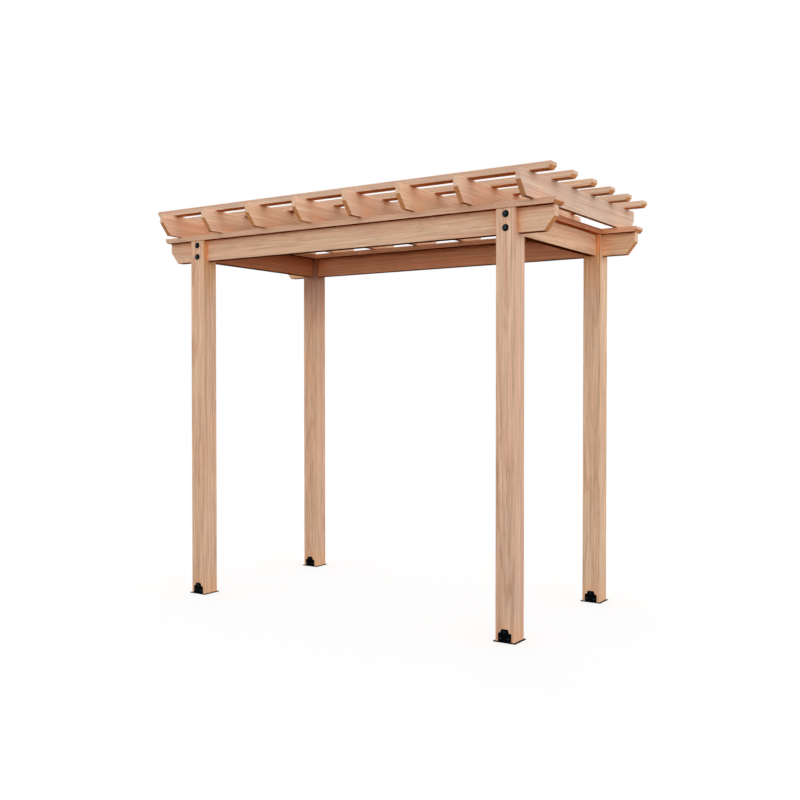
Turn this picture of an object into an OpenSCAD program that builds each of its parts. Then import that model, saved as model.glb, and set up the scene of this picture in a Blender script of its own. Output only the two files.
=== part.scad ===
// Free-standing timber pergola, in millimetres.
// Four posts with forked heads hold two long beams and two side beams. Flat cap boards lie
// over the beams, joists stand on edge across the caps, and slats lie flat across the joists.
// X runs along the length, Y from front to rear and Z up, from the middle of the footprint.

/* [Frame] */
// Length over the outer faces of the posts
frame_len = 2925; // [2200:5:3600]
// Depth over the outer faces of the posts
frame_depth = 1590; // [1300:5:2200]
// Height of the post tops above the ground
post_top = 2856; // [2200:1:3200]
// Width of the eased edge along every timber
ease = 1.5; // [1:0.5:5]

/* [Posts] */
// Side of the square posts
post_side = 140; // [120:1:170]
// Play between a beam and the sides of the slot that it lies in
slot_play = 1; // [0.4:0.1:2]

/* [Post bases] */
// How far the base plate stands out past the post on every side
plate_margin = 13; // [8:1:30]
// Thickness of the base plate
plate_t = 5; // [4:0.5:10]
// Width of the corner cut on the base plate
plate_corner = 4; // [2:0.5:8]
// Thickness of the uprights that clasp the post
upright_t = 4; // [3:0.5:6]
// Width of an upright at its foot
upright_w = 96; // [84:1:110]
// Height of an upright's shoulder above the ground
shoulder_h = 63; // [50:1:75]
// Size of the corner cut on the shoulder
shoulder_cut = 5; // [3:0.5:8]
// Width of an upright's neck, just above the shoulder
neck_w = 64; // [54:1:70]
// Width of an upright at its top
upright_top_w = 46; // [36:1:52]
// Height of an upright's top above the ground
upright_h = 88; // [80:1:120]

/* [Beams] */
// Thickness of the beams
beam_t = 64; // [50:1:76]
// Height of the beams
beam_h = 164; // [130:1:200]
// How far the long beams run past the outer faces of the posts
beam_over = 261; // [150:1:320]
// Length of the sloping cut under the ends of the long beams
beam_cut_run = 74; // [40:1:100]
// Height of the sloping cut under the ends of the long beams
beam_cut_rise = 92; // [50:1:110]

/* [Caps] */
// Width of the cap boards
cap_w = 152; // [130:1:180]
// Thickness of the cap boards
cap_t = 41; // [32:1:50]
// How far the long caps run past the outer faces of the posts
cap_over = 284; // [180:1:340]
// Length of the sloping cut under the ends of the long caps
cap_cut_run = 20; // [8:1:40]
// Height of the sloping cut under the ends of the long caps
cap_cut_rise = 22; // [8:1:26]

/* [Joists] */
// Number of joists
joist_count = 8; // [5:1:10]
// Thickness of the joists
joist_t = 36; // [30:1:50]
// Height of the joists
joist_h = 166; // [130:1:200]
// How far the joists run past the front and rear faces of the posts
joist_over = 202; // [150:1:300]
// How far the outermost joists' outer faces lie past the outer faces of the posts
joist_out = 140; // [100:1:180]
// Length of the sloping cut under the ends of the joists
joist_cut_run = 78; // [40:1:110]
// Height of the sloping cut under the ends of the joists
joist_cut_rise = 95; // [50:1:110]

/* [Slats] */
// Number of slats
slat_count = 6; // [4:1:8]
// Width of the slats, which lie flat
slat_w = 90; // [60:1:110]
// Thickness of the slats
slat_t = 45; // [32:1:50]
// How far the slats run past the outer faces of the posts
slat_over = 290; // [200:1:340]
// Distance from the end of a joist to the nearest slat
slat_inset = 120; // [60:1:200]
// Length of the sloping cut under the ends of the slats
slat_cut_run = 20; // [8:1:40]
// Height of the sloping cut under the ends of the slats
slat_cut_rise = 22; // [8:1:26]

/* [Hidden] */
// Centres of the posts, which are also the centre lines of the beams and caps
post_x = (frame_len - post_side) / 2;
post_y = (frame_depth - post_side) / 2;
post_len = post_top - plate_t;

// The slots in the post heads, and the height at which the beams sit in them
slot_w = beam_t + slot_play;
seat_z = post_top - beam_h;
// How far a cutting shape runs past the face that it cuts
cut_past = 2;

// Lengths of the boards
beam_len = frame_len + 2 * beam_over;
side_beam_len = 2 * post_y - beam_t;
cap_len = frame_len + 2 * cap_over;
side_cap_len = 2 * post_y - cap_w;
joist_len = frame_depth + 2 * joist_over;
slat_len = frame_len + 2 * slat_over;

// Undersides of the layers of the roof
cap_z = post_top;
joist_z = cap_z + cap_t;
slat_z = joist_z + joist_h;

// Places of the first joist and slat, and their even spacing
joist_x1 = -(frame_len / 2 + joist_out - joist_t / 2);
joist_pitch = -2 * joist_x1 / (joist_count - 1);
slat_y1 = -(joist_len / 2 - slat_inset - slat_w / 2);
slat_pitch = -2 * slat_y1 / (slat_count - 1);

// The four corners: name, side along X and side along Y
CORNERS = [
    ["front_left", -1, -1],
    ["front_right", 1, -1],
    ["rear_left", -1, 1],
    ["rear_right", 1, 1]
];
// The long pieces' sides along Y, and the side pieces' sides along X
LONG_SIDES = [["front", -1], ["rear", 1]];
END_SIDES = [["left", -1], ["right", 1]];

// Rectangle centred on the origin with its corners cut by e
module eased_rectangle(w, h, e) {
    polygon([
        [-w / 2 + e, -h / 2], [w / 2 - e, -h / 2], [w / 2, -h / 2 + e], [w / 2, h / 2 - e],
        [w / 2 - e, h / 2], [-w / 2 + e, h / 2], [-w / 2, h / 2 - e], [-w / 2, -h / 2 + e]
    ]);
}

// Side view of a board centred on X, with its two lower end corners cut off
module cut_outline(len, h, cut_run, cut_rise) {
    polygon([
        [-len / 2 + cut_run, 0], [len / 2 - cut_run, 0], [len / 2, cut_rise],
        [len / 2, h], [-len / 2, h], [-len / 2, cut_rise]
    ]);
}

// Square-ended board along X that lies on Z = 0
module board(len, w, h) {
    translate([0, 0, h / 2])
        rotate([90, 0, 90])
            linear_extrude(len, center = true)
                eased_rectangle(w, h, ease);
}

// Board along X that lies on Z = 0, with sloping cuts under both ends
module cut_board(len, w, h, cut_run, cut_rise) {
    intersection() {
        board(len, w, h);
        rotate([90, 0, 0])
            linear_extrude(w, center = true)
                cut_outline(len, h, cut_run, cut_rise);
    }
}

// Post with a forked head: the long beam lies in a slot right through the head, and the side
// beam passes through the inner prong to meet it
module post(side_x, side_y) {
    color("burlywood")
    translate([side_x * post_x, side_y * post_y, 0])
    difference() {
        translate([0, 0, plate_t])
            linear_extrude(post_len)
                eased_rectangle(post_side, post_side, ease);
        translate([-post_side / 2 - cut_past, -slot_w / 2, seat_z])
            cube([post_side + 2 * cut_past, slot_w, beam_h + cut_past]);
        mirror([0, side_y > 0 ? 0 : 1, 0])
            translate([-slot_w / 2, -post_side / 2 - cut_past, seat_z])
                cube([slot_w, post_side / 2 + cut_past, beam_h + cut_past]);
    }
}

// Stepped outline of an upright, from its foot in the plate to its narrow top
module upright_outline() {
    polygon([
        [-upright_w / 2, 0], [upright_w / 2, 0],
        [upright_w / 2, shoulder_h - shoulder_cut], [upright_w / 2 - shoulder_cut, shoulder_h],
        [neck_w / 2, shoulder_h], [upright_top_w / 2, upright_h],
        [-upright_top_w / 2, upright_h], [-neck_w / 2, shoulder_h],
        [-upright_w / 2 + shoulder_cut, shoulder_h], [-upright_w / 2, shoulder_h - shoulder_cut]
    ]);
}

// Steel base: a plate under the post and an upright on its front and rear faces
module post_base(side_x, side_y) {
    plate_side = post_side + 2 * plate_margin;
    color([0.07, 0.07, 0.08])
    translate([side_x * post_x, side_y * post_y, 0])
    union() {
        linear_extrude(plate_t)
            eased_rectangle(plate_side, plate_side, plate_corner);
        for (face = [0, 1])
            mirror([0, face, 0])
                translate([0, post_side / 2 + upright_t, 0])
                    rotate([90, 0, 0])
                        linear_extrude(upright_t)
                            upright_outline();
    }
}

// Long beam in the slots of two post heads
module long_beam(side_y) {
    color("peru")
    translate([0, side_y * post_y, seat_z])
        cut_board(beam_len, beam_t, beam_h, beam_cut_run, beam_cut_rise);
}

// Side beam from one long beam to the other, through the inner prongs of two posts
module side_beam(side_x) {
    color("peru")
    translate([side_x * post_x, 0, seat_z])
        rotate([0, 0, 90])
            board(side_beam_len, beam_t, beam_h);
}

// Cap board that lies on a long beam and its posts
module long_cap(side_y) {
    color("tan")
    translate([0, side_y * post_y, cap_z])
        cut_board(cap_len, cap_w, cap_t, cap_cut_run, cap_cut_rise);
}

// Cap board that lies on a side beam, between the long caps
module side_cap(side_x) {
    color("tan")
    translate([side_x * post_x, 0, cap_z])
        rotate([0, 0, 90])
            board(side_cap_len, cap_w, cap_t);
}

// Joist on edge across the long caps, counted from the left
module joist(index) {
    color("sandybrown")
    translate([joist_x1 + (index - 1) * joist_pitch, 0, joist_z])
        rotate([0, 0, 90])
            cut_board(joist_len, joist_t, joist_h, joist_cut_run, joist_cut_rise);
}

// Slat flat across the joists, counted from the front
module slat(index) {
    color("wheat")
    translate([0, slat_y1 + (index - 1) * slat_pitch, slat_z])
        cut_board(slat_len, slat_w, slat_t, slat_cut_run, slat_cut_rise);
}

for (c = CORNERS) {
    post(c[1], c[2]);
    post_base(c[1], c[2]);
}
for (s = LONG_SIDES) {
    long_beam(s[1]);
    long_cap(s[1]);
}
for (s = END_SIDES) {
    side_beam(s[1]);
    side_cap(s[1]);
}
for (i = [1 : joist_count])
    joist(i);
for (i = [1 : slat_count])
    slat(i);
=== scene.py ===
import math
import random
from collections import namedtuple

import bmesh
import bpy
from mathutils import Euler, Matrix, Vector


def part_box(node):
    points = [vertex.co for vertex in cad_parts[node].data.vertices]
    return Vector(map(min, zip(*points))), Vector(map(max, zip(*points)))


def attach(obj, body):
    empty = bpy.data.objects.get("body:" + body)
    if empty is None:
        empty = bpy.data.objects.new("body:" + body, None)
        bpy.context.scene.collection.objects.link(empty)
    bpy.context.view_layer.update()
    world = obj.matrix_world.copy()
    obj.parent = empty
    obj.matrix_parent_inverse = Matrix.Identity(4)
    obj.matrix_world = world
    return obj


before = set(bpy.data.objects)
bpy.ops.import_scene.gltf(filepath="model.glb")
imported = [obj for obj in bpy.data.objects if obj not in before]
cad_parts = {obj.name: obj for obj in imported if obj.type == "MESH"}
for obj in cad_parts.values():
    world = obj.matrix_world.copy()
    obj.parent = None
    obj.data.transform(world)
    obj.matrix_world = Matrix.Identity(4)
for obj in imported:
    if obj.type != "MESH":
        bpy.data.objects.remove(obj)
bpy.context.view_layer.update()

# The looks of a timber pergola: sawn softwood with its own grain in every board, black post
# bases and bolts, roof screws, a pale floor, soft light and the camera. Metres throughout.

BODY = "root"
SEED = 7
CORNERS = ["front_left", "front_right", "rear_left", "rear_right"]
INNER_JOISTS = [f"joist_{i}" for i in range(1, 8)]

# Camera, fitted to the photograph's 800 x 800 frame
CAMERA_PLACE = (4.4237, -6.6494, 1.7202)
CAMERA_YAW = 0.5826
CAMERA_DIP = 0.0184
CAMERA_LENS_MM = 44.98
CAMERA_SENSOR_MM = 36.0

# Ways that a face can look
RIGHT = (1.0, 0.0, 0.0)
FRONT = (0.0, -1.0, 0.0)
FRONT_AND_RIGHT = (0.707, -0.707, 0.0)
UP = (0.0, 0.0, 1.0)
DOWN = (0.0, 0.0, -1.0)
INWARD = {
    "front_beam": (0.0, 1.0, 0.0),
    "rear_beam": (0.0, -1.0, 0.0),
    "left_beam": (1.0, 0.0, 0.0),
    "right_beam": (-1.0, 0.0, 0.0),
}
# Cosines between a face's normal and such a way, over which a tone sets in
SIDE = (0.5, 0.9)
TWO_SIDES = (0.3, 0.6)
SLOPES_TOO = (0.30, 0.62)
FLAT_ONLY = (0.85, 0.97)

# Colours of the wood, linear
WOOD_PALE = (0.756, 0.536, 0.373)
WOOD_TAN = (0.721, 0.473, 0.319)
WOOD_PINK = (0.687, 0.401, 0.272)
WOOD_LATE_POST = (0.527, 0.261, 0.161)
WOOD_LATE_BOARD = (0.591, 0.329, 0.211)

# Tints of single boards, as factors on the colours of the wood. Some are the boards' own colour and some
# are painted light and shade, lighter or darker to even out how the light falls on them, as on the slats,
# joists, rear posts and right cap
NO_TINT = (1.0, 1.0, 1.0)
SLAT_PAINTED_SHADE = (0.95, 0.98, 1.01)
BOARD_TINTS_AND_PAINTED_LIGHT = {
    "front_left_post": (0.985, 0.96, 0.95),
    "rear_left_post": (1.04, 1.03, 1.01),
    "rear_right_post": (1.05, 1.07, 1.05),
    "front_beam": (0.97, 0.94, 0.95),
    "right_beam": (1.00, 0.96, 0.91),
    "front_cap": (0.95, 0.94, 0.95),
    "right_cap": (0.97, 0.86, 0.80),
    "joist_7": (1.02, 1.08, 1.08),
    "joist_8": (0.89, 0.925, 0.98),
    "slat_1": (0.86, 0.88, 0.92),
    "slat_4": (0.88, 0.90, 0.91),
}

# Painted light and shade, as factors too: warm painted shade where boards meet, in narrow gaps, on
# undersides and on inner sides, and painted light on faces that get less light than the rest
NOOK_PAINTED_SHADE = (1.15, 0.92, 0.68)
FRONT_BEAM_NOOK_PAINTED_SHADE = (1.27, 0.68, 0.36)
JOIST_FOOT_PAINTED_SHADE = (1.05, 0.96, 0.81)
JOIST_TOP_PAINTED_SHADE = (1.14, 1.02, 0.84)
END_JOIST_FOOT_PAINTED_SHADE = (0.96, 0.90, 0.80)
END_JOIST_TOP_PAINTED_SHADE = (1.12, 1.00, 0.86)
# Painted light: the right faces of the inner joists made lighter, where the next joist keeps light off them
RIGHT_SIDE_PAINTED_LIGHT = (1.17, 1.13, 1.12)
# Painted shade on undersides: warm on all, warmer on slats, and deepest on the flat undersides of caps and
# beams
UNDERSIDE_PAINTED_SHADE = (1.06, 0.69, 0.41)
SLAT_UNDERSIDE_PAINTED_SHADE = (1.30, 0.78, 0.42)
DEEP_UNDERSIDE_PAINTED_SHADE = (0.48, 0.31, 0.20)
DEEP_UNDERSIDE_PAINTED_SHADES = {"front_cap": (0.42, 0.10, 0.03), "right_cap": (0.80, 0.55, 0.33)}
# Painted shade on the inner sides of the beams between the posts
INNER_SIDE_PAINTED_SHADE = (1.02, 0.84, 0.74)
INNER_SIDE_PAINTED_SHADES = {"left_beam": (0.97, 0.60, 0.46), "rear_beam": (1.17, 0.84, 0.71)}
# Painted light on the inner face of the rear beam's ends past the posts
BEAM_END_PAINTED_LIGHT = (1.24, 1.21, 1.11)
# Painted shade on the right cap's right side and painted light on the rear cap's front side: the way the
# side looks, and its tone
SIDE_PAINTED_LIGHT_AND_SHADE = {
    "right_cap": (RIGHT, (0.93, 0.78, 0.76)),
    "rear_cap": (FRONT, (1.18, 1.02, 0.88)),
}
# Painted light and shade on post heads under the roof: way that the faces look, how far down the tone
# reaches, and the tone
HEAD_PAINTED_LIGHT_AND_SHADE = {
    "rear_left_post": (FRONT_AND_RIGHT, 0.52, (0.67, 0.56, 0.59)),
    "rear_right_post": (FRONT, 0.34, (1.15, 0.90, 0.68)),
    "front_left_post": (RIGHT, 0.34, (1.16, 1.02, 0.76)),
}

# Colours of the metal, linear
COAT_DARK = (0.0012, 0.0015, 0.0020)
COAT_LIGHT = (0.0028, 0.0033, 0.0042)
# Painted highlight: a lighter bluish colour on the crowns of the bolt heads
CROWN_HIGHLIGHT_COLOUR = (0.020, 0.036, 0.050)
SCREW_DARK = (0.055, 0.042, 0.030)
SCREW_LIGHT = (0.110, 0.085, 0.060)


# Node helpers

def set_or_link(tree, socket, value):
    """Links value to socket if it is another node's output, or else sets it as the socket's own value."""
    if isinstance(value, bpy.types.NodeSocket):
        tree.links.new(value, socket)
    else:
        socket.default_value = value


def math_node(tree, operation, *values):
    node = tree.nodes.new("ShaderNodeMath")
    node.operation = operation
    for socket, value in zip(node.inputs, values):
        set_or_link(tree, socket, value)
    return node.outputs["Value"]


def vector_node(tree, operation, *values, result="Vector"):
    node = tree.nodes.new("ShaderNodeVectorMath")
    node.operation = operation
    for socket, value in zip(node.inputs, values):
        set_or_link(tree, socket, value)
    return node.outputs[result]


def scaled(tree, vector, factor):
    node = tree.nodes.new("ShaderNodeVectorMath")
    node.operation = "SCALE"
    set_or_link(tree, node.inputs["Vector"], vector)
    set_or_link(tree, node.inputs["Scale"], factor)
    return node.outputs["Vector"]


def parts_of(tree, vector):
    """The outputs X, Y and Z of a vector."""
    node = tree.nodes.new("ShaderNodeSeparateXYZ")
    tree.links.new(vector, node.inputs["Vector"])
    return node.outputs


def noise_node(tree, vector, seed, detail=2.0, roughness=0.5, result="Fac"):
    """Noise over a vector that is already scaled, with seed choosing one of its many patterns."""
    node = tree.nodes.new("ShaderNodeTexNoise")
    node.noise_dimensions = "4D"
    set_or_link(tree, node.inputs["Vector"], vector)
    node.inputs["W"].default_value = seed
    node.inputs["Scale"].default_value = 1.0
    node.inputs["Detail"].default_value = detail
    node.inputs["Roughness"].default_value = roughness
    return node.outputs[result]


def range_node(tree, value, from_low, from_high, to_low, to_high, smooth=False):
    node = tree.nodes.new("ShaderNodeMapRange")
    node.interpolation_type = "SMOOTHSTEP" if smooth else "LINEAR"
    set_or_link(tree, node.inputs["Value"], value)
    node.inputs["From Min"].default_value = from_low
    node.inputs["From Max"].default_value = from_high
    node.inputs["To Min"].default_value = to_low
    node.inputs["To Max"].default_value = to_high
    return node.outputs["Result"]


def ramp_node(tree, factor, stops):
    """Colour ramp with (place, colour) stops."""
    node = tree.nodes.new("ShaderNodeValToRGB")
    set_or_link(tree, node.inputs["Fac"], factor)
    elements = node.color_ramp.elements
    while len(elements) < len(stops):
        elements.new(0.5)
    for element, (place, colour) in zip(elements, stops):
        element.position = place
        element.color = (*colour, 1.0)
    return node.outputs["Color"]


def mix_colours(tree, factor, first, second):
    node = tree.nodes.new("ShaderNodeMix")
    node.data_type = "RGBA"
    set_or_link(tree, node.inputs[0], factor)
    set_or_link(tree, node.inputs[6], first)
    set_or_link(tree, node.inputs[7], second)
    return node.outputs[2]


def bump_node(tree, height, strength, distance):
    node = tree.nodes.new("ShaderNodeBump")
    node.inputs["Strength"].default_value = strength
    node.inputs["Distance"].default_value = distance
    set_or_link(tree, node.inputs["Height"], height)
    return node.outputs["Normal"]


def new_material(name):
    """A material with a plain Principled shader, as (material, node tree, shader)."""
    material = bpy.data.materials.new(name)
    material.use_nodes = True
    tree = material.node_tree
    shader = tree.nodes["Principled BSDF"]
    return material, tree, shader


# Grain of the wood

Board = namedtuple("Board", "node kind tree place seed")
KINDS = ("post", "beam", "cap", "joist", "slat")

# By kind of timber: how far the grain sways, how much of the ring lines shows, how deep the fine veins
# are, how wide the colours of the early wood spread over the blush, and the colour of the late wood
Grain = namedtuple("Grain", "sway figure veins spread late")
GRAINS = {
    "post": Grain(0.045, 0.70, 0.21, 0.27, WOOD_LATE_POST),
    "beam": Grain(0.028, 0.70, 0.16, 0.18, WOOD_LATE_BOARD),
    "cap": Grain(0.028, 1.00, 0.11, 0.18, WOOD_LATE_BOARD),
    "joist": Grain(0.028, 0.55, 0.11, 0.18, WOOD_LATE_BOARD),
    "slat": Grain(0.028, 1.00, 0.11, 0.18, WOOD_LATE_BOARD),
}

# Layers of noise that are drawn out along the grain: waves in a metre along it and across it, a shift
# that chooses the pattern, detail and roughness
Layer = namedtuple("Layer", "along across shift detail roughness")
WANDER = Layer(0.8, 4.0, 0.0, 2.0, 0.5)
RIPPLE = Layer(3.6, 34.0, 11.0, 2.0, 0.5)
FIBRE = Layer(5.0, 420.0, 23.0, 3.0, 0.6)
STREAK = Layer(2.6, 120.0, 37.0, 2.0, 0.6)
BLUSH = Layer(0.9, 38.0, 43.0, 2.0, 0.6)
PORE = Layer(45.0, 1500.0, 51.0, 1.0, 0.5)
VEIN = Layer(3.0, 190.0, 61.0, 2.0, 0.6)

# Growth rings: widths of two sets of rings, their ripple, the late wood across one ring, and the share of
# it in a poor year
WIDE_RING = 0.022
THIN_RING = 0.0145
THIN_SHIFT = 5.0
WIDE_RIPPLE = 1.1
THIN_RIPPLE = 3.0
RING_PROFILE = [(0.0, 0.0), (0.66, 0.05), (0.84, 1.0), (0.93, 0.9), (1.0, 0.0)]
POOR_YEAR = 0.30
# The pith: its least and greatest distance from the middle of a board, and its greatest slope
PITH_DISTANCE = (0.06, 0.15)
PITH_SLOPE = 0.03
# A flat-sawn board's pith: how far it turns aside, and the least slope that draws out the flames
FLAT_SAWN_TURN = 0.12
FLAT_SAWN_SLOPE = 0.018
FLAT_SAWN_SPREAD = 0.4
# Turns that bring each axis onto X
GRAIN_TURN = {
    "X": Euler((0.0, 0.0, 0.0)),
    "Y": Euler((0.0, 0.0, -math.pi / 2)),
    "Z": Euler((0.0, math.pi / 2, 0.0)),
}


def kind_of(node):
    return next(kind for kind in KINDS if kind in node.split("_"))


def grain_axis(node):
    """The axis that a board's grain follows: its longest side."""
    low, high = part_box(node)
    sides = high - low
    return "XYZ"[max(range(3), key=lambda i: sides[i])]


def board_coordinates(tree, node):
    """Coordinates with the grain along X, measured from the middle of the board."""
    low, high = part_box(node)
    turn = GRAIN_TURN[grain_axis(node)]
    mapping = tree.nodes.new("ShaderNodeMapping")
    mapping.vector_type = "POINT"
    mapping.inputs["Rotation"].default_value = turn
    mapping.inputs["Location"].default_value = -(turn.to_matrix() @ ((low + high) / 2))
    coordinates = tree.nodes.new("ShaderNodeTexCoord")
    tree.links.new(coordinates.outputs["Object"], mapping.inputs["Vector"])
    return mapping.outputs["Vector"]


def noise_layer(board, layer, result="Fac"):
    stretch = (layer.along, layer.across, layer.across)
    vector = vector_node(board.tree, "MULTIPLY", board.place, stretch)
    return noise_node(board.tree, vector, board.seed + layer.shift, layer.detail, layer.roughness, result)


def swaying_place(board):
    """The board's coordinates, with the grain swaying from side to side as the trunk grew."""
    tree = board.tree
    sway = GRAINS[board.kind].sway
    wander = vector_node(tree, "SUBTRACT", noise_layer(board, WANDER, "Color"), (0.5, 0.5, 0.5))
    return vector_node(tree, "ADD", board.place, vector_node(tree, "MULTIPLY", wander, (0.0, sway, sway)))


def pith_radius(tree, place, rng, flat_sawn):
    """Distance from the pith, which runs at a slight slope beside the board. It lies behind the front face
    of a flat-sawn one, so that the rings come out there as long pointed flames."""
    turn = rng.uniform(-math.pi, math.pi)
    angle = math.pi + turn * (FLAT_SAWN_TURN if flat_sawn else 1.0)
    distance = rng.uniform(*PITH_DISTANCE)
    parts = parts_of(tree, place)
    from_pith = tree.nodes.new("ShaderNodeCombineXYZ")
    for name, reach in (("Y", math.cos(angle)), ("Z", math.sin(angle))):
        slope = rng.uniform(-PITH_SLOPE, PITH_SLOPE)
        if flat_sawn and name == "Y":
            slope = math.copysign(FLAT_SAWN_SLOPE + FLAT_SAWN_SPREAD * abs(slope), slope)
        leaning = math_node(tree, "MULTIPLY_ADD", parts["X"], slope, parts[name])
        tree.links.new(math_node(tree, "ADD", leaning, reach * distance), from_pith.inputs[name])
    return vector_node(tree, "LENGTH", from_pith.outputs["Vector"], result="Value")


def growth_rings(tree, radius, ripple, width, seed):
    """Late wood from 0 to 1 in growth rings of one width, with good and poor years."""
    rings = math_node(tree, "MULTIPLY_ADD", radius, 1.0 / width, ripple)
    year = math_node(tree, "ADD", math_node(tree, "FLOOR", rings), seed)
    fortune = tree.nodes.new("ShaderNodeTexWhiteNoise")
    fortune.noise_dimensions = "1D"
    tree.links.new(year, fortune.inputs["W"])
    stops = [(place, (late, late, late)) for place, late in RING_PROFILE]
    growth = ramp_node(tree, math_node(tree, "FRACT", rings), stops)
    share = range_node(tree, fortune.outputs["Value"], 0.0, 1.0, POOR_YEAR, 1.0)
    return math_node(tree, "MULTIPLY", growth, share)


def ring_lines(board, rng):
    """The late wood of the wide and the thin rings."""
    tree = board.tree
    radius = pith_radius(tree, swaying_place(board), rng, board.kind == "post")
    ripple = math_node(tree, "MULTIPLY", noise_layer(board, RIPPLE), WIDE_RIPPLE)
    thin_ripple = math_node(tree, "MULTIPLY", ripple, THIN_RIPPLE)
    wide = growth_rings(tree, radius, ripple, WIDE_RING, board.seed)
    thin = growth_rings(tree, radius, thin_ripple, THIN_RING, board.seed + THIN_SHIFT)
    return wide, thin


# Colour of the wood

SEED_RANGE = (0.0, 100.0)
LIGHT_CHANCE = (0.975, 1.025)
GREEN_CHANCE = (0.985, 1.015)
BLUE_CHANCE = (0.97, 1.03)
# Ring lines are broken up by the streaks, from their least share to their full one, the strongest streaks
# show as dashes of late wood, and thin rings show less than wide ones
STREAK_SPAN = (0.30, 0.70)
LEAST_LINE = 0.40
DASH_SPAN = (0.56, 0.72)
DASH_SHARE = 0.40
THIN_SHARE = 0.62
# Light and dark of fibres, pores and veins
FIBRE_SPAN = (0.25, 0.75)
FIBRE_SHADE = (0.91, 1.08)
PORE_SPAN = (0.62, 0.78)
PORE_SHADE = 0.80
VEIN_SPAN = (0.30, 0.70)
VEIN_DARK = 1.15
# Roughness of the fibres and what pores add to it, and the relief of fibres, rings and pores
ROUGH_SPAN = (0.2, 0.8)
FIBRE_ROUGH = (0.66, 0.56)
PORE_ROUGH = 0.15
FIBRE_RISE = 0.7
RING_RISE = 0.4
PORE_SINK = 0.5
RELIEF_STRENGTH = 0.35
RELIEF_DEPTH = 0.0006
# Painted shade where boards meet and in narrow gaps: how far round a place the boards count, and rays to
# find them
NOOK_SHADE_REACH = 0.30
NOOK_SHADE_SAMPLES = 8
# Openness of a place at which the painted shade is full, and at which it is gone
NOOK_SHADE_SPAN = (0.20, 0.86)
# Heights from a joist's middle between which the painted shade of its foot gives way to that of its top
JOIST_SPAN = (-0.02, 0.06)
# The inner faces of the posts along X, and how far short of them and past them a beam's painted shade
# changes
POST_INNER_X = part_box("front_right_post")[0].x
BETWEEN_SHORT = 0.01
BETWEEN_PAST = 0.03
SEAT_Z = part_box("front_beam")[0].z


def tinted(colour, tint):
    return tuple(c * t for c, t in zip(colour, tint))


def board_tint(node, rng):
    """A board's listed tint, which is its own colour or painted light and shade, or the usual one of its
    kind, which for slats is painted shade, a little lighter, redder or yellower by chance.
    """
    light = rng.uniform(*LIGHT_CHANCE)
    green = light * rng.uniform(*GREEN_CHANCE)
    blue = light * rng.uniform(*BLUE_CHANCE)
    usual = SLAT_PAINTED_SHADE if kind_of(node) == "slat" else NO_TINT
    return tinted((light, green, blue), BOARD_TINTS_AND_PAINTED_LIGHT.get(node, usual))


def bare_wood(board, tint, wide, thin):
    """Early wood that blushes from pale to pink, with the lines and dashes of late wood over it."""
    tree = board.tree
    grain = GRAINS[board.kind]
    figure = grain.figure
    late = (*tinted(grain.late, tint), 1.0)
    streak = noise_layer(board, STREAK)
    colour = ramp_node(tree, noise_layer(board, BLUSH), [
        (0.50 - grain.spread, tinted(WOOD_PALE, tint)),
        (0.50, tinted(WOOD_TAN, tint)),
        (0.50 + grain.spread, tinted(WOOD_PINK, tint)),
    ])
    broken = range_node(tree, streak, *STREAK_SPAN, LEAST_LINE * figure, figure)
    colour = mix_colours(tree, math_node(tree, "MULTIPLY", wide, broken), colour, late)
    dashes = range_node(tree, streak, *DASH_SPAN, 0.0, DASH_SHARE * figure, True)
    colour = mix_colours(tree, dashes, colour, late)
    thin_lines = math_node(tree, "MULTIPLY", thin, THIN_SHARE * figure)
    return mix_colours(tree, thin_lines, colour, late)


def shade_painted_in_nooks(tree, tone):
    """Painted shade: the given tone where boards meet and in narrow gaps, and none in the open."""
    near = tree.nodes.new("ShaderNodeAmbientOcclusion")
    near.samples = NOOK_SHADE_SAMPLES
    near.inputs["Distance"].default_value = NOOK_SHADE_REACH
    full, gone = NOOK_SHADE_SPAN
    return ramp_node(tree, near.outputs["AO"], [(full, tone), (gone, NO_TINT)])


def joist_painted_shade(board):
    """Painted shade where a joist meets other boards and in its narrow gaps, from its foot on the caps to
    its top under the slats.
    """
    tree = board.tree
    inner = board.node in INNER_JOISTS
    foot = shade_painted_in_nooks(tree, JOIST_FOOT_PAINTED_SHADE if inner else END_JOIST_FOOT_PAINTED_SHADE)
    top = shade_painted_in_nooks(tree, JOIST_TOP_PAINTED_SHADE if inner else END_JOIST_TOP_PAINTED_SHADE)
    up = range_node(tree, parts_of(tree, board.place)["Z"], *JOIST_SPAN, 0.0, 1.0, True)
    return mix_colours(tree, up, foot, top)


def facing(tree, way, span):
    """1 for the faces that look along way, and 0 for the rest."""
    geometry = tree.nodes.new("ShaderNodeNewGeometry")
    towards = vector_node(tree, "DOT_PRODUCT", geometry.outputs["True Normal"], way, result="Value")
    return range_node(tree, towards, *span, 0.0, 1.0, True)


def between_posts(board):
    """1 along the part of a beam that lies between the posts, and 0 past them."""
    tree = board.tree
    along = math_node(tree, "ABSOLUTE", parts_of(tree, board.place)["X"])
    inside, past = POST_INNER_X - BETWEEN_SHORT, POST_INNER_X + BETWEEN_PAST
    return range_node(tree, along, inside, past, 1.0, 0.0, True)


def near_head(board, reach):
    """1 at the seat of a post's slot, fading to 0 at reach below it."""
    low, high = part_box(board.node)
    seat = SEAT_Z - (low.z + high.z) / 2
    along = parts_of(board.tree, board.place)["X"]
    return range_node(board.tree, along, seat - reach, seat, 0.0, 1.0)


def toned(tree, colour, share, tone):
    """The colour with its share of a tone, which is a colour or another node's output."""
    full = tone if isinstance(tone, bpy.types.NodeSocket) else (*tone, 1.0)
    return vector_node(tree, "MULTIPLY", colour, mix_colours(tree, share, (*NO_TINT, 1.0), full))


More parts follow.
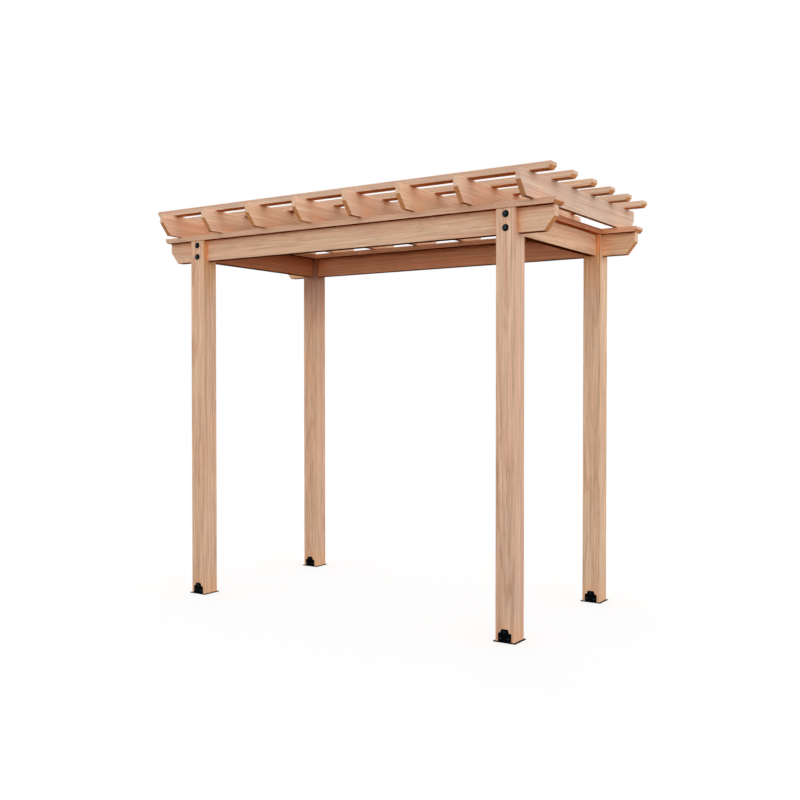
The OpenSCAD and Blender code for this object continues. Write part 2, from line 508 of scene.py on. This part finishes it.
def wood_with_painted_nook_shade(board, colour):
    """The colour with painted shade where the board meets others and in narrow gaps. Slats lie open on top
    and have none.
    """
    tree = board.tree
    if board.kind == "slat":
        return colour
    if board.kind == "joist":
        return toned(tree, colour, facing(tree, RIGHT, SIDE), joist_painted_shade(board))
    if board.node == "front_beam":
        tone = shade_painted_in_nooks(tree, FRONT_BEAM_NOOK_PAINTED_SHADE)
        return toned(tree, colour, facing(tree, FRONT, SIDE), tone)
    return vector_node(tree, "MULTIPLY", colour, shade_painted_in_nooks(tree, NOOK_PAINTED_SHADE))


def painted_underside_shades(board, colour):
    """Painted shade: deeper colour on the undersides, and the deepest on those of caps and beams."""
    tree = board.tree
    tone = SLAT_UNDERSIDE_PAINTED_SHADE if board.kind == "slat" else UNDERSIDE_PAINTED_SHADE
    colour = toned(tree, colour, facing(tree, DOWN, SLOPES_TOO), tone)
    if board.kind in ("cap", "beam"):
        dark = DEEP_UNDERSIDE_PAINTED_SHADES.get(board.node, DEEP_UNDERSIDE_PAINTED_SHADE)
        colour = toned(tree, colour, facing(tree, DOWN, FLAT_ONLY), dark)
    return colour


def painted_side_light_and_shade(board, colour):
    """Painted light and shade on the upright faces that lie open to the light or in the shade of the roof.
    """
    tree = board.tree
    if board.node in INNER_JOISTS:
        colour = toned(tree, colour, facing(tree, RIGHT, SIDE), RIGHT_SIDE_PAINTED_LIGHT)
    if board.node in SIDE_PAINTED_LIGHT_AND_SHADE:
        way, tone = SIDE_PAINTED_LIGHT_AND_SHADE[board.node]
        colour = toned(tree, colour, facing(tree, way, SIDE), tone)
    if board.node in HEAD_PAINTED_LIGHT_AND_SHADE:
        way, reach, tone = HEAD_PAINTED_LIGHT_AND_SHADE[board.node]
        share = math_node(tree, "MULTIPLY", facing(tree, way, TWO_SIDES), near_head(board, reach))
        colour = toned(tree, colour, share, tone)
    return colour


def painted_beam_light_and_shade(board, colour):
    """Painted shade on a beam's inner side between the posts, and painted light on the rear beam's ends
    past them.
    """
    tree = board.tree
    inner_side = facing(tree, INWARD[board.node], SIDE)
    inside = between_posts(board)
    tone = INNER_SIDE_PAINTED_SHADES.get(board.node, INNER_SIDE_PAINTED_SHADE)
    colour = toned(tree, colour, math_node(tree, "MULTIPLY", inner_side, inside), tone)
    if board.node == "rear_beam":
        past = math_node(tree, "SUBTRACT", 1.0, inside)
        colour = toned(tree, colour, math_node(tree, "MULTIPLY", inner_side, past), BEAM_END_PAINTED_LIGHT)
    return colour


def fine_shade(board, fibre, pore):
    """Light and dark of the fibres, pores and veins, as a factor on the colour."""
    tree = board.tree
    veins = GRAINS[board.kind].veins
    fibres = range_node(tree, fibre, *FIBRE_SPAN, *FIBRE_SHADE)
    pores = range_node(tree, pore, 0.0, 1.0, 1.0, PORE_SHADE)
    light, dark = 1.0 + veins, 1.0 - VEIN_DARK * veins
    lines = range_node(tree, noise_layer(board, VEIN), *VEIN_SPAN, light, dark)
    return math_node(tree, "MULTIPLY", math_node(tree, "MULTIPLY", fibres, pores), lines)


def wood_roughness(tree, fibre, pore):
    smooth = range_node(tree, fibre, *ROUGH_SPAN, *FIBRE_ROUGH)
    return math_node(tree, "ADD", smooth, math_node(tree, "MULTIPLY", pore, PORE_ROUGH))


def wood_relief(tree, fibre, pore, thin):
    """Raised fibres and rings, and sunken pores."""
    raised = math_node(tree, "MULTIPLY", fibre, FIBRE_RISE)
    relief = math_node(tree, "ADD", raised, math_node(tree, "MULTIPLY", thin, RING_RISE))
    relief = math_node(tree, "SUBTRACT", relief, math_node(tree, "MULTIPLY", pore, PORE_SINK))
    return bump_node(tree, relief, RELIEF_STRENGTH, RELIEF_DEPTH)


def wood_material(node, rng):
    """Softwood cut from its own place in a log: growth rings about a pith line beside the board, so that
    the faces show straight or pointed grain and the ends show arcs."""
    material, tree, shader = new_material(f"wood_{node}")
    seed = rng.uniform(*SEED_RANGE)
    tint = board_tint(node, rng)
    board = Board(node, kind_of(node), tree, board_coordinates(tree, node), seed)
    wide, thin = ring_lines(board, rng)
    fibre = noise_layer(board, FIBRE)
    pore = range_node(tree, noise_layer(board, PORE), *PORE_SPAN, 0.0, 1.0, True)

    # Painted shade where boards meet, on undersides, sides and beams, and painted light on some faces, over
    # the bare wood's colour
    colour = wood_with_painted_nook_shade(board, bare_wood(board, tint, wide, thin))
    colour = painted_side_light_and_shade(board, painted_underside_shades(board, colour))
    if board.kind == "beam":
        colour = painted_beam_light_and_shade(board, colour)
    colour = scaled(tree, colour, fine_shade(board, fibre, pore))
    tree.links.new(colour, shader.inputs["Base Color"])
    tree.links.new(wood_roughness(tree, fibre, pore), shader.inputs["Roughness"])
    tree.links.new(wood_relief(tree, fibre, pore, thin), shader.inputs["Normal"])
    shader.inputs["Specular IOR Level"].default_value = 0.0
    return material


# Coated steel

# Clouds and orange peel of the coat: waves in a metre, seeds that choose the pattern, and what follows them
CLOUD_WAVES = 55.0
CLOUD_SEED = 3.0
CLOUD_SPAN = (0.35, 0.70)
PEEL_SEED = 9.0
PEEL_STRENGTH = 0.25
PEEL_DEPTH = 0.0003
GLOSS_SPAN = (0.3, 0.7)
GLOSS_SPREAD = 0.06
# Heights on a fastener, from 0 to 1, between which the painted highlight on its crown sets in
HIGHLIGHT_SPAN = (0.55, 1.0)


def painted_crown_highlight(tree, coat, crown):
    """The coat, with a painted highlight on the crown of a fastener, in another colour."""
    height = tree.nodes.new("ShaderNodeAttribute")
    height.attribute_name = "height"
    highlight_share = range_node(tree, height.outputs["Fac"], *HIGHLIGHT_SPAN, 0.0, 1.0, True)
    return mix_colours(tree, highlight_share, coat, (*crown, 1.0))


def coated_steel(name, dark, light, roughness, peel_waves, sheen, crown=None):
    """Powder-coated or oxidised steel, with fine orange peel, cloudy colour and uneven gloss, and a painted
    highlight on the crown when a crown colour is given.
    """
    material, tree, shader = new_material(name)
    place = tree.nodes.new("ShaderNodeTexCoord").outputs["Object"]
    clouds = noise_node(tree, scaled(tree, place, CLOUD_WAVES), CLOUD_SEED, 3.0, 0.6)
    peel = noise_node(tree, scaled(tree, place, peel_waves), PEEL_SEED)
    coat = ramp_node(tree, clouds, list(zip(CLOUD_SPAN, (dark, light))))
    if crown is not None:
        coat = painted_crown_highlight(tree, coat, crown)
    dull, glossy = roughness + GLOSS_SPREAD, roughness - GLOSS_SPREAD
    gloss = range_node(tree, clouds, *GLOSS_SPAN, dull, glossy)
    tree.links.new(coat, shader.inputs["Base Color"])
    tree.links.new(gloss, shader.inputs["Roughness"])
    tree.links.new(bump_node(tree, peel, PEEL_STRENGTH, PEEL_DEPTH), shader.inputs["Normal"])
    shader.inputs["Specular IOR Level"].default_value = sheen
    return material


# Meshes

def lathe(bm, profile, segments, matrix):
    """Adds the solid of revolution of (radius, height) points about Z, from the axis at the foot to the
    axis at the top, and places it by matrix. The layer "height" keeps how far up each point lies, from
    0 to 1."""
    layer = bm.verts.layers.float.get("height") or bm.verts.layers.float.new("height")
    top = max(height for radius, height in profile)
    rings = []
    for radius, height in profile:
        ring = []
        for i in range(1 if radius == 0.0 else segments):
            angle = 2 * math.pi * i / segments
            point = Vector((radius * math.cos(angle), radius * math.sin(angle), height))
            vert = bm.verts.new(matrix @ point)
            vert[layer] = max(height, 0.0) / top
            ring.append(vert)
        rings.append(ring)
    for below, above in zip(rings, rings[1:]):
        for i in range(segments):
            j = (i + 1) % segments
            lower = [below[i % len(below)], below[j % len(below)]]
            upper = [above[j % len(above)], above[i % len(above)]]
            bm.faces.new(list(dict.fromkeys(lower + upper)))


def finish_piece(name, bm, material, smooth_angle=35.0):
    """Turns bm into a shaded piece that rides on the body."""
    bmesh.ops.recalc_face_normals(bm, faces=bm.faces[:])
    mesh = bpy.data.meshes.new(name)
    bm.to_mesh(mesh)
    bm.free()
    mesh.materials.append(material)
    mesh.shade_smooth()
    mesh.set_sharp_from_angle(angle=math.radians(smooth_angle))
    piece = bpy.data.objects.new(name, mesh)
    bpy.context.scene.collection.objects.link(piece)
    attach(piece, BODY)


def standing(place, direction):
    """Matrix that stands a lathed solid at place with its axis along direction."""
    turn = Vector(direction).to_track_quat("Z", "Y").to_matrix().to_4x4()
    return Matrix.Translation(place) @ turn


# Fasteners: outlines as (radius, height) points from the foot to the crown

LATHE_SEGMENTS = 40
SCREW_SEGMENTS = 16
BOLT_HEAD = [
    (0.0, 0.0), (0.0222, 0.0), (0.0236, 0.0009), (0.0236, 0.0030), (0.0225, 0.0041), (0.0188, 0.0045),
    (0.0183, 0.0060), (0.0172, 0.0092), (0.0150, 0.0121), (0.0118, 0.0144), (0.0080, 0.0160),
    (0.0040, 0.0168), (0.0, 0.0170)]
ANCHOR_SCREW = [
    (0.0, 0.0), (0.0078, 0.0), (0.0084, 0.0006), (0.0082, 0.0014), (0.0062, 0.0020), (0.0058, 0.0040),
    (0.0046, 0.0052), (0.0024, 0.0059), (0.0, 0.0061)]
DECK_SCREW = [
    (0.0, -0.0030), (0.0040, -0.0002), (0.0046, 0.0), (0.0046, 0.0004), (0.0034, 0.0004),
    (0.0020, -0.0012), (0.0, -0.0014)]
# Depths of the bolts below the top of a post
BOLT_DROPS = (0.0375, 0.1285)
# Places of the screws on a base's upright, from the middle of the post and from the ground
BASE_SCREW_PLACES = ((-0.030, 0.027), (0.030, 0.027), (0.0, 0.070))
UPRIGHT_T = 0.004
# Distances of a pair of screws from the middle of a slat or cap
SLAT_SCREW_SIDES = (-0.022, 0.022)
CAP_SCREW_SIDES = (-0.018, 0.018)


def middle(node):
    low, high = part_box(node)
    return (low + high) / 2


def nodes_of(kind):
    return sorted(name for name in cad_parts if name.startswith(f"{kind}_"))


def post_bolts(material):
    """Two domed bolts through every post head, on its outer face."""
    bm = bmesh.new()
    for corner in CORNERS:
        low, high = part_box(f"{corner}_post")
        out = -1.0 if corner.startswith("front") else 1.0
        face_y = low.y if out < 0 else high.y
        for drop in BOLT_DROPS:
            place = ((low.x + high.x) / 2, face_y, high.z - drop)
            lathe(bm, BOLT_HEAD, LATHE_SEGMENTS, standing(place, (0.0, out, 0.0)))
    finish_piece("post_bolts", bm, material)


def base_screws(material):
    """Screws that hold the base uprights to the front and rear faces of every post."""
    bm = bmesh.new()
    for corner in CORNERS:
        low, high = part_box(f"{corner}_post")
        for out, face_y in ((-1.0, low.y), (1.0, high.y)):
            for across, up in BASE_SCREW_PLACES:
                place = ((low.x + high.x) / 2 + across, face_y + out * UPRIGHT_T, up)
                lathe(bm, ANCHOR_SCREW, SCREW_SEGMENTS, standing(place, (0.0, out, 0.0)))
    finish_piece("base_screws", bm, material)


def screw_pair(bm, x, board, sides):
    """A pair of screws on top of a board that runs along X."""
    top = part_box(board)[1].z
    for side in sides:
        lathe(bm, DECK_SCREW, SCREW_SEGMENTS, standing((x, middle(board).y + side, top), UP))


def roof_screws(material):
    """Pairs of screws where every slat crosses a joist, and along the long caps between the joists."""
    bm = bmesh.new()
    joist_places = [middle(joist).x for joist in nodes_of("joist")]
    for slat in nodes_of("slat"):
        for x in joist_places:
            screw_pair(bm, x, slat, SLAT_SCREW_SIDES)
    for cap in ("front_cap", "rear_cap"):
        for first, second in zip(joist_places, joist_places[1:]):
            screw_pair(bm, (first + second) / 2, cap, CAP_SCREW_SIDES)
    finish_piece("roof_screws", bm, material)


# Finishes of the CAD pieces

WOOD_EASE = 0.0007
STEEL_EASE = 0.0008
EASE_SEGMENTS = 2
EASE_ANGLE = 20.0
WELD_GAP = 1e-5


def eased_edges(piece, width):
    """Rounds the edges of a CAD piece a little, as planing and coating leave them."""
    weld = piece.modifiers.new("join_faces", "WELD")
    weld.merge_threshold = WELD_GAP
    bevel = piece.modifiers.new("eased_edges", "BEVEL")
    bevel.width = width
    bevel.segments = EASE_SEGMENTS
    bevel.limit_method = "ANGLE"
    bevel.angle_limit = math.radians(EASE_ANGLE)
    bevel.harden_normals = False


def dress(node, material, ease):
    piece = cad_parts[node]
    for slot in piece.material_slots:
        slot.material = material
    eased_edges(piece, ease)


def dress_pergola():
    """Every CAD piece's finish, and the fasteners."""
    rng = random.Random(SEED)
    black_coat = coated_steel("black_coat", COAT_DARK, COAT_LIGHT,
                              roughness=0.45, peel_waves=900.0, sheen=0.015)
    bolt_black = coated_steel("bolt_black", COAT_DARK, COAT_LIGHT,
                              roughness=0.30, peel_waves=700.0, sheen=0.08, crown=CROWN_HIGHLIGHT_COLOUR)
    screw_bronze = coated_steel("screw_bronze", SCREW_DARK, SCREW_LIGHT,
                                roughness=0.40, peel_waves=1500.0, sheen=0.4)
    for name in sorted(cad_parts):
        if name.endswith("_base"):
            dress(name, black_coat, STEEL_EASE)
        else:
            dress(name, wood_material(name, rng), WOOD_EASE)
    post_bolts(bolt_black)
    base_screws(bolt_black)
    roof_screws(screw_bronze)


# Stage: floor, light and camera

FLOOR_SIDE = 60.0
FLOOR_DROP = 0.0005
# The floor's colour when it is seen and when light bounces off it, and its own glow when it is seen
FLOOR_SEEN = 0.27
FLOOR_BOUNCE = 0.01
FLOOR_GLOW = 0.70
# The world's light at the horizon and overhead, and the height of a direction where it stops falling
HORIZON_LIGHT = 2.63
ZENITH_LIGHT = 0.74
FALL_HEIGHT = 0.7
# Lamps: name, direction they shine from, spread in degrees, level and colour
LAMPS = [
    ("right", (0.97, -0.17, 0.13), 44.0, 0.21, (0.88, 1.02, 1.22)),
    ("rear", (-0.55, 0.65, 0.38), 80.0, 0.27, (1.0, 0.85, 0.70)),
]


def seen_directly(tree):
    """1 for rays from the camera, a reflection or a clear surface, and else 0."""
    path = tree.nodes.new("ShaderNodeLightPath")
    direct = math_node(tree, "MAXIMUM", path.outputs["Is Camera Ray"], path.outputs["Is Glossy Ray"])
    return math_node(tree, "MAXIMUM", direct, path.outputs["Is Transmission Ray"])


def floor_material():
    """Looks white, keeps the shadow and throws little light back up."""
    material = bpy.data.materials.new("pale_floor")
    material.use_nodes = True
    tree = material.node_tree
    tree.nodes.clear()
    matt = tree.nodes.new("ShaderNodeBsdfDiffuse")
    seen = seen_directly(tree)
    tree.links.new(range_node(tree, seen, 0.0, 1.0, FLOOR_BOUNCE, FLOOR_SEEN), matt.inputs["Color"])
    glow = tree.nodes.new("ShaderNodeEmission")
    tree.links.new(math_node(tree, "MULTIPLY", seen, FLOOR_GLOW), glow.inputs["Strength"])
    both = tree.nodes.new("ShaderNodeAddShader")
    tree.links.new(matt.outputs["BSDF"], both.inputs[0])
    tree.links.new(glow.outputs["Emission"], both.inputs[1])
    output = tree.nodes.new("ShaderNodeOutputMaterial")
    tree.links.new(both.outputs["Shader"], output.inputs["Surface"])
    return material


def pale_floor():
    bpy.ops.mesh.primitive_plane_add(size=FLOOR_SIDE, location=(0.0, 0.0, -FLOOR_DROP))
    floor = bpy.context.object
    floor.name = "floor"
    floor.data.materials.append(floor_material())


def white_world():
    """Light from all round, strongest from the sides, which is plain white where it is seen."""
    world = bpy.data.worlds.new("studio")
    bpy.context.scene.world = world
    world.use_nodes = True
    tree = world.node_tree
    background = tree.nodes["Background"]
    background.inputs["Color"].default_value = (1.0, 1.0, 1.0, 1.0)
    direction = tree.nodes.new("ShaderNodeTexCoord").outputs["Generated"]
    height = parts_of(tree, direction)["Z"]
    light = range_node(tree, height, 0.0, FALL_HEIGHT, HORIZON_LIGHT, ZENITH_LIGHT)
    seen = seen_directly(tree)
    unseen = math_node(tree, "SUBTRACT", 1.0, seen)
    strength = math_node(tree, "MULTIPLY_ADD", light, unseen, seen)
    tree.links.new(strength, background.inputs["Strength"])


def soft_light(name, direction, spread, level, colour):
    """Broad distant light that lights a facing white surface to about level."""
    lamp = bpy.data.lights.new(name, "SUN")
    lamp.angle = math.radians(spread)
    lamp.energy = level * math.pi
    lamp.color = colour
    light = bpy.data.objects.new(name, lamp)
    light.rotation_euler = Vector(direction).to_track_quat("Z", "Y").to_euler()
    bpy.context.scene.collection.objects.link(light)


def photo_camera():
    camera = bpy.data.cameras.new("photo_camera")
    camera.lens = CAMERA_LENS_MM
    camera.sensor_width = CAMERA_SENSOR_MM
    holder = bpy.data.objects.new("photo_camera", camera)
    holder.location = CAMERA_PLACE
    holder.rotation_euler = (math.pi / 2 - CAMERA_DIP, 0.0, CAMERA_YAW)
    bpy.context.scene.collection.objects.link(holder)
    bpy.context.scene.camera = holder


dress_pergola()
pale_floor()
white_world()
for lamp_values in LAMPS:
    soft_light(*lamp_values)
photo_camera()
bpy.context.scene.view_settings.view_transform = "Standard"
